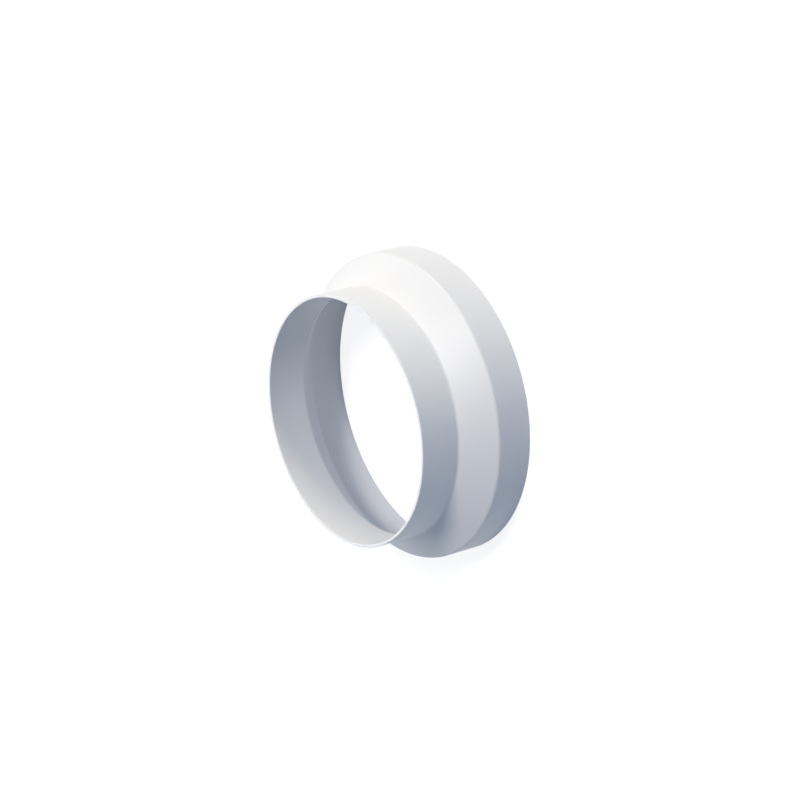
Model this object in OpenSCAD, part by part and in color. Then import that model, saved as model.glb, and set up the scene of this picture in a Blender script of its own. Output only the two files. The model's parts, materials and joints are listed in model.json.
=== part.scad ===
/* [Small spigot] */
// Outside diameter of the small spigot
small_od = 100; // [70:1:112]
// Length of the small spigot, from the cone to its rim
small_len = 17; // [8:1:60]

/* [Large spigot] */
// Outside diameter of the large spigot
large_od = 122; // [114:1:160]
// Length of the large spigot, from its rim to the cone
large_len = 15; // [8:1:60]

/* [Cone] */
// Height of the cone that joins the two spigots
cone_len = 11; // [8:1:60]
// Fillet outside, in the hollow between the small spigot and the cone
neck_fillet = 1.5; // [0.3:0.1:3]
// Fillet inside, in the hollow between the large spigot and the cone
shoulder_fillet = 0.4; // [0.2:0.1:2]

/* [Wall] */
// Thickness of the wall, the same in the spigots and the cone
wall = 1.2; // [0.8:0.1:2.5]
// Rounding of the edges of both rims
rim_round = 0.25; // [0.1:0.05:0.35]

/* [Finish] */
// Colour of the moulded plastic
plastic_colour = "#F3F4F6";

/* [Hidden] */

// Facets of a full turn
turn_facets = 128;
// Largest angle, in degrees, between two points of a rounded corner
corner_step = 15;

small_r = small_od / 2;
large_r = large_od / 2;
cone_top = large_len + cone_len;
height = cone_top + small_len;

// Angle between the cone's side and the axis
cone_angle = atan2(large_r - small_r, cone_len);
// The wall is as thick in the cone as in the spigots because its inner corners lie this much further down
corner_drop = wall * tan(cone_angle / 2);

// Corners of the section through the wall as [radius, height, rounding]: up the outside, down the inside.
// A corner and the one behind it in the wall are rounded about the same centre.
wall_corners = [
    [large_r, 0, rim_round],
    [large_r, large_len, shoulder_fillet + wall],
    [small_r, cone_top, neck_fillet],
    [small_r, height, rim_round],
    [small_r - wall, height, rim_round],
    [small_r - wall, cone_top - corner_drop, neck_fillet + wall],
    [large_r - wall, large_len - corner_drop, shoulder_fillet],
    [large_r - wall, 0, rim_round]
];

function place(corner) = [corner[0], corner[1]];
function unit(v) = v / norm(v);

// Points of the arc that rounds a corner and touches both its sides. back and ahead are the
// directions from the corner to its two neighbours.
function corner_arc(corner, back, ahead, radius) =
    let (
        half_angle = acos(back * ahead) / 2,
        touch = radius / tan(half_angle),
        centre = corner + unit(back + ahead) * radius / sin(half_angle),
        first = corner + back * touch - centre,
        last = corner + ahead * touch - centre,
        turn = 180 - 2 * half_angle,
        steps = ceil(turn / corner_step)
    )
    [for (i = [0 : steps])
        centre + (first * sin(turn * (1 - i / steps)) + last * sin(turn * i / steps)) / sin(turn)];

// Outline through the given corners, each rounded by its own radius
function rounded(corners) =
    let (count = len(corners))
    [for (i = [0 : count - 1])
        let (
            here = place(corners[i]),
            back = unit(place(corners[(i + count - 1) % count]) - here),
            ahead = unit(place(corners[(i + 1) % count]) - here)
        )
        each corner_arc(here, back, ahead, corners[i][2])];

// Large spigot, cone and small spigot moulded in one piece, standing on the rim of the large spigot
module reducer() {
    color(plastic_colour)
        rotate_extrude($fn = turn_facets)
            polygon(rounded(wall_corners));
}

reducer();
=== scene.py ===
"""A round duct reducer moulded in white PVC, standing on its large end, with its stage, lamps and camera."""

import json
import math

import bmesh
import bpy
from mathutils import Matrix, Vector


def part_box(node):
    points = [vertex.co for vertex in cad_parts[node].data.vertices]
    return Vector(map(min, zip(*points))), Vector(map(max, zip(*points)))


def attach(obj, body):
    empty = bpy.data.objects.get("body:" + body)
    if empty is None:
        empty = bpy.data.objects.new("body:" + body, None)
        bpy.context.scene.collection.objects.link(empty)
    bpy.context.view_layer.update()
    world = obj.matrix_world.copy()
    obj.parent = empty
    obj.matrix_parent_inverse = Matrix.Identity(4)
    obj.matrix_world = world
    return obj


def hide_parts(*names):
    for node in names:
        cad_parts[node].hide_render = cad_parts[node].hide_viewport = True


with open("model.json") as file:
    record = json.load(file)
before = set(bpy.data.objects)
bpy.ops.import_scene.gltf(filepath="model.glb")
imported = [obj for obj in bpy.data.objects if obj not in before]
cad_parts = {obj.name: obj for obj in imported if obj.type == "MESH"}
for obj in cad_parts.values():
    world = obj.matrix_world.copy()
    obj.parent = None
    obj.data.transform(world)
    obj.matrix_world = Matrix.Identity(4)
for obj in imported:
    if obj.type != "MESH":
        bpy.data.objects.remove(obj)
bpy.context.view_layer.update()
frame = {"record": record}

bl_info = {
    "name": "Duct Reducer",
    "version": (1, 0, 0),
    "blender": (4, 5, 0),
    "location": "View3D > Sidebar > Duct Reducer",
    "description": "Models a moulded PVC duct reducer and the stage that it is shown on",
    "category": "Object",
}

NODE = "reducer"
MM = 0.001

# Steps of a bevel across a fillet and across a rim's edge, and the bevel profile that is a part of a circle.
FILLET_STEPS = 8
RIM_STEPS = 4
ROUND = 0.5

# Widths of the finish's patterns and heights of its relief, in millimetres. The tool's real grain is about
# 0.2 mm wide, too fine to show, and is drawn coarser.
PATCH_WIDTH = 35
RIPPLE_WIDTH = 14
RIPPLE_HEIGHT = 0.05
GRAIN_WIDTH = 0.9
GRAIN_HEIGHT = 0.02


def mount_radius(name):
    """Radius of one of the record's round mounts, in metres."""
    found = next(m for m in frame["record"]["mounts"] if m["name"] == name)
    return found["dims"]["r_mm"] * MM


def linear(hex_colour):
    """An sRGB hex colour as linear red, green and blue."""
    parts = [int(hex_colour[i:i + 2], 16) / 255 for i in (1, 3, 5)]
    return tuple(p / 12.92 if p <= 0.04045 else ((p + 0.055) / 1.055) ** 2.4 for p in parts)


def per_mm(size):
    """Scale of a noise texture on Object coordinates whose features are this many millimetres wide."""
    return 1 / (size * MM)


def length(name, description, default):
    """A length property in metres."""
    return bpy.props.FloatProperty(
        name=name, description=description, default=default, min=0, precision=5, unit="LENGTH"
    )


def angle(name, description, degrees):
    """An angle property, given in degrees."""
    return bpy.props.FloatProperty(
        name=name, description=description, default=math.radians(degrees), unit="ROTATION"
    )


def colour(name, description, hex_colour):
    """A colour property, given as sRGB hex."""
    return bpy.props.FloatVectorProperty(
        name=name, description=description, default=linear(hex_colour), subtype="COLOR", min=0, max=1
    )


def level(name, description, default):
    """A brightness property, in which 1 shows a white face as white."""
    return bpy.props.FloatProperty(name=name, description=description, default=default, min=0, max=2)


def share(name, description, default):
    """A property from 0 to 1."""
    return bpy.props.FloatProperty(
        name=name, description=description, default=default, min=0, max=1, subtype="FACTOR"
    )


class ReducerSettings(bpy.types.PropertyGroup):
    """Sizes and finish of the moulding."""

    small_radius: length("Small radius", "Outside radius of the small spigot", mount_radius("small_spigot"))
    large_radius: length("Large radius", "Outside radius of the large spigot", mount_radius("large_spigot"))
    wall: length("Wall", "Thickness of the wall", mount_radius("small_spigot") - mount_radius("small_bore"))
    height: length("Height", "Height from rim to rim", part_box(NODE)[1].z)
    cone_foot: length("Cone foot", "Height at which the large spigot meets the cone", 15 * MM)
    cone_top: length("Cone top", "Height at which the cone meets the small spigot", 26 * MM)
    neck_fillet: length("Neck fillet", "Outside fillet under the small spigot", 1.5 * MM)
    shoulder_fillet: length("Shoulder fillet", "Inside fillet over the large spigot", 0.4 * MM)
    rim_round: length("Rim rounding", "Rounding of the edges of both rims", 0.25 * MM)
    turn_steps: bpy.props.IntProperty(
        name="Turn steps", description="Faces round the reducer", default=288, min=32, max=720
    )
    white: colour("White", "Colour of the plastic", "#F4F4F5")
    shade: colour("Shade", "Colour of the plastic where the melt's flow left it slightly duller", "#EDEEF0")
    roughness: share("Roughness", "Roughness of the plastic", 0.42)
    dull_roughness: share("Dull roughness", "Roughness of the plastic where it is slightly duller", 0.5)


class StageSettings(bpy.types.PropertyGroup):
    """Floor, lamps and camera."""

    floor_side: length("Floor side", "Side of the square floor", 8.0)
    floor_colour: colour("Floor", "Colour that the floor throws back on the reducer", "#BEC6D2")
    shadow_share: share("Shadow share", "How strongly the floor shows the reducer's shadow", 0.25)
    floor_white: share("Floor white", "White of the floor beside the reducer, where it is seen", 0.85)
    fade_start: length("Fade start", "Distance from the axis where the floor starts to whiten", 0.15)
    fade_end: length("Fade end", "Distance from the axis where the floor is plain white", 0.9)
    sky_colour: colour("Sky", "Colour of the light from all round", "#BCDBFF")
    sky_level: level("Sky level", "Brightness of the light from all round", 0.24)
    lamp_distance: length("Lamp distance", "Distance of the lamps", 2.4)
    lamp_side: length("Lamp side", "Side of the lamps' square softboxes", 0.5)
    high_azimuth: angle("High azimuth", "Direction of the high main lamp, from +X towards +Y", 315)
    high_elevation: angle("High elevation", "Height of the high lamp above the floor", 58)
    high_level: level("High level", "Brightness that the high lamp gives a white face turned to it", 0.59)
    high_colour: colour("High colour", "Colour of the high lamp", "#FFF9F4")
    low_azimuth: angle("Low azimuth", "Direction of the low lamp, from +X towards +Y", 345)
    low_elevation: angle("Low elevation", "Height of the low lamp above the floor", 6)
    low_level: level("Low level", "Brightness that the low lamp gives a white face turned to it", 0.37)
    low_colour: colour("Low colour", "Colour of the low lamp", "#FFF2D5")
    back_azimuth: angle("Back azimuth", "Direction of the lamp that whitens the rim, from +X towards +Y", 85)
    back_elevation: angle("Back elevation", "Height of the back lamp above the floor", 35)
    back_level: level("Back level", "Brightness that the back lamp gives a white face turned to it", 0.23)
    back_colour: colour("Back colour", "Colour of the back lamp", "#FFFFFF")
    camera_distance: length("Camera distance", "Distance of the camera from its aim", 1.25)
    camera_elevation: angle("Camera elevation", "Height of the line of sight above the floor", 34.851)
    camera_roll: angle("Camera roll", "Turn of the camera about its line of sight, clockwise", 105.009)
    camera_aim: bpy.props.FloatVectorProperty(
        name="Camera aim", description="Point that the camera looks at",
        default=(2.436 * MM, -13.314 * MM, 23.880 * MM), precision=5, unit="LENGTH",
    )
    lens: bpy.props.FloatProperty(
        name="Lens", description="Focal length in millimetres on a 36 mm sensor", default=145.85, min=10
    )


def add_node(tree, kind, settings=None, **links):
    """Adds a node. settings go on it, or on its inputs by name or number, and links join its inputs."""
    node = tree.nodes.new(kind)
    for name, value in (settings or {}).items():
        if isinstance(name, int) or name in node.inputs:
            node.inputs[name].default_value = value
        else:
            setattr(node, name, value)
    for name, output in links.items():
        key = name.replace("_", " ")
        target = node.inputs[int(key[3:])] if key.startswith("in ") else node.inputs[key]
        tree.links.new(output, target)
    return node


def new_material(name):
    """An empty node material and its node tree."""
    material = bpy.data.materials.new(name)
    material.use_nodes = True
    material.node_tree.nodes.clear()
    return material, material.node_tree


def white_pvc(settings):
    """Rigid PVC, injection moulded in a fine matt tool: even, slightly cool white with a soft sheen."""
    material, tree = new_material("moulded_white_pvc")
    place = add_node(tree, "ShaderNodeTexCoord").outputs["Object"]

    # The melt leaves patches a few centimetres wide that differ by a shade, in colour and in gloss.
    flow = add_node(tree, "ShaderNodeTexNoise", {"Scale": per_mm(PATCH_WIDTH), "Detail": 2.0}, Vector=place)
    tone = add_node(
        tree, "ShaderNodeMix", {"data_type": "RGBA", 6: (*settings.white, 1), 7: (*settings.shade, 1)},
        in_0=flow.outputs["Fac"],
    )
    gloss = add_node(
        tree, "ShaderNodeMapRange",
        {"To Min": settings.roughness, "To Max": settings.dull_roughness},
        Value=flow.outputs["Fac"],
    )

    # The tool's fine grain spreads the light, and as it cools the wall draws in a little unevenly.
    grain = add_node(
        tree, "ShaderNodeTexNoise", {"Scale": per_mm(GRAIN_WIDTH), "Detail": 1.0}, Vector=place
    )
    fine = add_node(
        tree, "ShaderNodeBump", {"Strength": 0.12, "Distance": GRAIN_HEIGHT * MM},
        Height=grain.outputs["Fac"],
    )
    ripple = add_node(
        tree, "ShaderNodeTexNoise", {"Scale": per_mm(RIPPLE_WIDTH), "Detail": 0.0}, Vector=place
    )
    wave = add_node(
        tree, "ShaderNodeBump", {"Strength": 0.25, "Distance": RIPPLE_HEIGHT * MM},
        Height=ripple.outputs["Fac"], Normal=fine.outputs["Normal"],
    )
    plastic = add_node(
        tree, "ShaderNodeBsdfPrincipled", {"IOR": 1.53},
        Base_Color=tone.outputs[2], Roughness=gloss.outputs["Result"], Normal=wave.outputs["Normal"],
    )
    add_node(tree, "ShaderNodeOutputMaterial", Surface=plastic.outputs["BSDF"])
    return material


def seen_directly(tree):
    """1 for the camera's rays and those that a shiny or clear surface passes on, and 0 for lighting rays."""
    path = add_node(tree, "ShaderNodeLightPath")
    camera_or_mirror = add_node(
        tree, "ShaderNodeMath", {"operation": "ADD"},
        in_0=path.outputs["Is Camera Ray"], in_1=path.outputs["Is Glossy Ray"],
    )
    return add_node(
        tree, "ShaderNodeMath", {"operation": "ADD", "use_clamp": True},
        in_0=camera_or_mirror.outputs[0], in_1=path.outputs["Is Transmission Ray"],
    ).outputs[0]


def pale_floor(settings):
    """Matt board that lights the reducer as a blue-grey, and is seen as white with a faint shadow."""
    material, tree = new_material("pale_matt_board")
    lit = add_node(tree, "ShaderNodeBsdfDiffuse", {"Color": (*settings.floor_colour, 1)})
    grey = settings.shadow_share
    shaded = add_node(tree, "ShaderNodeBsdfDiffuse", {"Color": (grey, grey, grey, 1)})

    # Far from the reducer the lamps are dim, so the board turns to the white of the world there.
    place = add_node(tree, "ShaderNodeTexCoord").outputs["Object"]
    distance = add_node(tree, "ShaderNodeVectorMath", {"operation": "LENGTH"}, in_0=place)
    white = add_node(
        tree, "ShaderNodeMapRange",
        {
            "interpolation_type": "SMOOTHSTEP",
            "From Min": settings.fade_start, "From Max": settings.fade_end,
            "To Min": settings.floor_white, "To Max": 1.0,
        },
        Value=distance.outputs["Value"],
    )
    glow = add_node(tree, "ShaderNodeEmission", Strength=white.outputs["Result"])
    seen = add_node(tree, "ShaderNodeAddShader", in_0=shaded.outputs[0], in_1=glow.outputs[0])
    both = add_node(
        tree, "ShaderNodeMixShader", in_0=seen_directly(tree), in_1=lit.outputs[0], in_2=seen.outputs[0]
    )
    add_node(tree, "ShaderNodeOutputMaterial", Surface=both.outputs[0])
    return material


def select_none():
    """Deselects everything, because the loaded frame comes in selected."""
    bpy.ops.object.select_all(action="DESELECT")


def select_edges(piece, wanted):
    """Selects exactly the edges of the piece in edit mode for which wanted(edge) is true."""
    bpy.ops.mesh.select_mode(type="EDGE")
    bpy.ops.mesh.select_all(action="DESELECT")
    mesh = bmesh.from_edit_mesh(piece.data)
    for edge in mesh.edges:
        edge.select_set(wanted(edge))
    bmesh.update_edit_mesh(piece.data)


def is_ring_at(height):
    """A test for edges that run round the axis at a height."""
    near = 0.001 * MM

    def test(edge):
        a, b = (v.co for v in edge.verts)
        at_height = abs(a.z - height) < near and abs(b.z - height) < near
        return at_height and abs(a.xy.length - b.xy.length) < near

    return test


def extrude_ring(drop, widen=1.0):
    """Draws the selected ring down by drop and scales it about the axis."""
    bpy.ops.mesh.extrude_region_move(TRANSFORM_OT_translate={"value": (0, 0, -drop)})
    bpy.ops.transform.resize(value=(widen, widen, 1), center_override=(0, 0, 0))


def apply_modifier(piece, kind, **settings):
    """Adds a modifier with these settings and applies it."""
    modifier = piece.modifiers.new(kind.title(), kind)
    for name, value in settings.items():
        setattr(modifier, name, value)
    bpy.ops.object.modifier_apply(modifier=modifier.name)


class DUCT_OT_make_reducer(bpy.types.Operator):
    """Model the reducer: a ring drawn down into spigot, cone and spigot, then given its wall"""

    bl_idname = "duct.make_reducer"
    bl_label = "Make Reducer"

    def execute(self, context):
        s = context.scene.duct_reducer
        select_none()
        bpy.ops.mesh.primitive_circle_add(
            vertices=s.turn_steps, radius=s.small_radius, fill_type="NOTHING", location=(0, 0, s.height)
        )
        piece = context.active_object
        piece.name = "moulded_reducer"
        bpy.ops.object.transform_apply(location=True, rotation=True, scale=True)

        bpy.ops.object.mode_set(mode="EDIT")
        bpy.ops.mesh.select_mode(type="EDGE")
        bpy.ops.mesh.select_all(action="SELECT")
        extrude_ring(s.height - s.cone_top)
        extrude_ring(s.cone_top - s.cone_foot, s.large_radius / s.small_radius)
        extrude_ring(s.cone_foot)
        bpy.ops.mesh.select_all(action="SELECT")
        bpy.ops.mesh.normals_make_consistent(inside=False)

        # A fillet starts its radius times this from the corner, on both sides. The surface drawn here is the
        # outer one, so the shoulder's fillet, which is an inside one, is larger by the wall.
        cone_angle = math.atan2(s.large_radius - s.small_radius, s.cone_top - s.cone_foot)
        reach = math.tan(cone_angle / 2)
        for height, radius in ((s.cone_top, s.neck_fillet), (s.cone_foot, s.shoulder_fillet + s.wall)):
            select_edges(piece, is_ring_at(height))
            bpy.ops.mesh.bevel(offset=radius * reach, segments=FILLET_STEPS, profile=ROUND)
        bpy.ops.object.mode_set(mode="OBJECT")

        apply_modifier(piece, "SOLIDIFY", thickness=s.wall, offset=-1, use_even_offset=True)
        bpy.ops.object.mode_set(mode="EDIT")
        for height in (0, s.height):
            select_edges(piece, is_ring_at(height))
            bpy.ops.mesh.bevel(offset=s.rim_round, segments=RIM_STEPS, profile=ROUND)
        bpy.ops.object.mode_set(mode="OBJECT")
        bpy.ops.object.shade_smooth()
        # Large faces keep their own normals, so the spigots look straight right up to their fillets.
        apply_modifier(piece, "WEIGHTED_NORMAL", mode="FACE_AREA", weight=100)

        piece.data.materials.append(white_pvc(s))
        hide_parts(NODE)
        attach(piece, "root")
        return {"FINISHED"}


def around(azimuth, elevation):
    """Unit vector in a direction: azimuth from +X towards +Y, elevation above the floor."""
    across = math.cos(elevation)
    return Vector((across * math.cos(azimuth), across * math.sin(azimuth), math.sin(elevation)))


def add_softbox(name, settings, direction, brightness, tint):
    """A square area lamp that gives a white face turned to it this brightness."""
    middle = Vector((0, 0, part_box(NODE)[1].z / 2))
    distance = settings.lamp_distance
    select_none()
    bpy.ops.object.light_add(type="AREA", location=middle + direction * distance)
    lamp = bpy.context.active_object
    lamp.name = name
    lamp.rotation_euler = direction.to_track_quat("Z", "Y").to_euler()
    lamp.data.shape = "SQUARE"
    lamp.data.size = settings.lamp_side
    lamp.data.color = tint
    # At this power, a face at this distance gets pi times the brightness in watts a square metre.
    lamp.data.energy = brightness * (math.pi * distance) ** 2
    lamp.visible_camera = False
    return lamp


class DUCT_OT_make_stage(bpy.types.Operator):
    """Set the floor, the lamps, the world and the camera round the reducer"""

    bl_idname = "duct.make_stage"
    bl_label = "Make Stage"

    def execute(self, context):
        s = context.scene.duct_stage
        select_none()
        bpy.ops.mesh.primitive_plane_add(size=s.floor_side)
        floor = context.active_object
        floor.name = "floor"
        floor.data.materials.append(pale_floor(s))

        for name in ("high", "low", "back"):
            direction = around(getattr(s, name + "_azimuth"), getattr(s, name + "_elevation"))
            add_softbox(name, s, direction, getattr(s, name + "_level"), getattr(s, name + "_colour"))
        self.make_world(context, s)
        self.make_camera(context, s)
        context.scene.view_settings.view_transform = "Standard"
        return {"FINISHED"}

    def make_world(self, context, s):
        """An even cool sky, seen as plain white."""
        world = bpy.data.worlds.new("studio")
        context.scene.world = world
        world.use_nodes = True
        tree = world.node_tree
        tree.nodes.clear()
        sky = add_node(
            tree, "ShaderNodeBackground", {"Color": (*s.sky_colour, 1), "Strength": s.sky_level}
        )
        white = add_node(tree, "ShaderNodeBackground", {"Color": (1, 1, 1, 1), "Strength": 1.0})
        both = add_node(
            tree, "ShaderNodeMixShader",
            in_0=seen_directly(tree), in_1=sky.outputs[0], in_2=white.outputs[0],
        )
        add_node(tree, "ShaderNodeOutputWorld", Surface=both.outputs[0])

    def make_camera(self, context, s):
        """The photograph's line of sight, rolled so that the standing reducer lies as it does there."""
        select_none()
        bpy.ops.object.camera_add()
        camera = context.active_object
        camera.name = "photo_camera"
        back = around(math.radians(-90), s.camera_elevation)
        upright = back.to_track_quat("Z", "Y").to_matrix().to_4x4()
        rolled = upright @ Matrix.Rotation(-s.camera_roll, 4, "Z")
        camera.matrix_world = Matrix.Translation(Vector(s.camera_aim) + back * s.camera_distance) @ rolled
        camera.data.sensor_width = 36
        camera.data.lens = s.lens
        camera.data.clip_end = 100
        context.scene.camera = camera


class DUCT_PT_reducer(bpy.types.Panel):
    """Lists the reducer's and the stage's operators and settings."""

    bl_idname = "DUCT_PT_reducer"
    bl_label = "Duct Reducer"
    bl_space_type = "VIEW_3D"
    bl_region_type = "UI"
    bl_category = "Duct Reducer"

    def draw(self, context):
        groups = (
            (DUCT_OT_make_reducer, context.scene.duct_reducer),
            (DUCT_OT_make_stage, context.scene.duct_stage),
        )
        for operator, settings in groups:
            box = self.layout.box()
            for name in settings.bl_rna.properties.keys():
                if name not in ("rna_type", "name"):
                    box.prop(settings, name)
            box.operator(operator.bl_idname)


CLASSES = (ReducerSettings, StageSettings, DUCT_OT_make_reducer, DUCT_OT_make_stage, DUCT_PT_reducer)


def register():
    """Registers the classes and puts their settings on the scene."""
    for cls in CLASSES:
        bpy.utils.register_class(cls)
    bpy.types.Scene.duct_reducer = bpy.props.PointerProperty(type=ReducerSettings)
    bpy.types.Scene.duct_stage = bpy.props.PointerProperty(type=StageSettings)


def unregister():
    """Takes the settings and the classes away again."""
    del bpy.types.Scene.duct_stage
    del bpy.types.Scene.duct_reducer
    for cls in reversed(CLASSES):
        bpy.utils.unregister_class(cls)


def main():
    register()
    bpy.ops.duct.make_reducer()
    bpy.ops.duct.make_stage()


if __name__ == "__main__":
    main()
